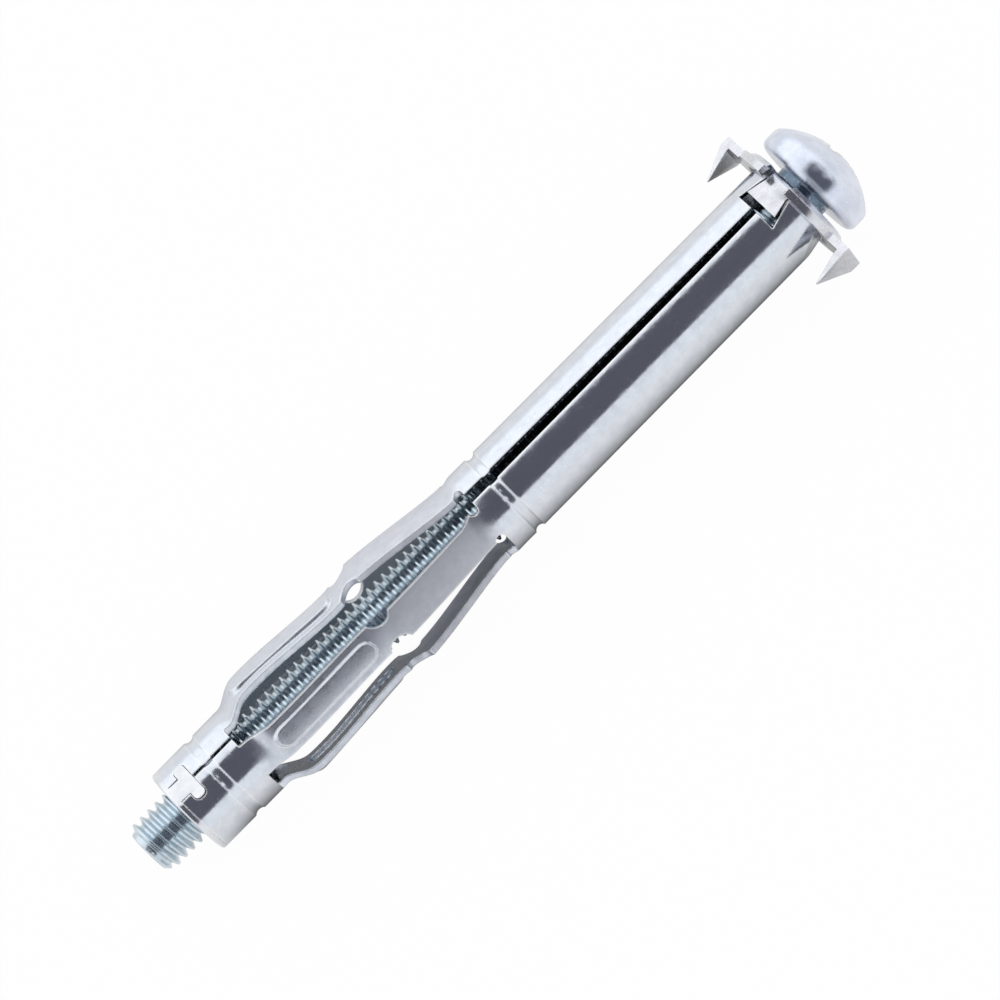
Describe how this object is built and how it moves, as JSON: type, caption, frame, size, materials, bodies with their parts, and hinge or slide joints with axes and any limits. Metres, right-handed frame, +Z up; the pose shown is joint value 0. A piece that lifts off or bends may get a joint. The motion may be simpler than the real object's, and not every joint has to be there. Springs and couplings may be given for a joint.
{
  "type": "metal hollow wall anchor",
  "caption": "Zinc-plated hollow wall anchor: slotted steel sleeve with bulged folding legs, hooked nut, pronged flange and a long cross-recess pan head screw.",
  "frame": {"origin": "on the surface that the anchor lies on, under the middle of its overall box", "axes": "+X along the anchor towards the screw head, +Z up through the seam of the sleeve, +Y towards one prong; the anchor's own axis rises towards the head by the slope at which it rests"},
  "size_m": [0.0946, 0.0182, 0.013],
  "materials": {
    "screw_zinc": "bright bluish zinc plate",
    "sleeve_zinc": "bright bluish zinc plate",
    "nut_zinc": "bright zinc plate",
    "flange_zinc": "bright zinc plate"
  },
  "bodies": {
    "shell": {"sleeve": "sleeve_zinc", "nut": "nut_zinc", "flange_plate": "flange_zinc"},
    "screw_body": {"screw": "screw_zinc"}
  },
  "joints": [
    {"name": "screw_turn", "type": "hinge", "parent": "shell", "child": "screw_body", "pos_m": [0.04035, 0, 0.00651], "axis": [-0.9999, 0, -0.0147], "continuous": true}
  ]
}
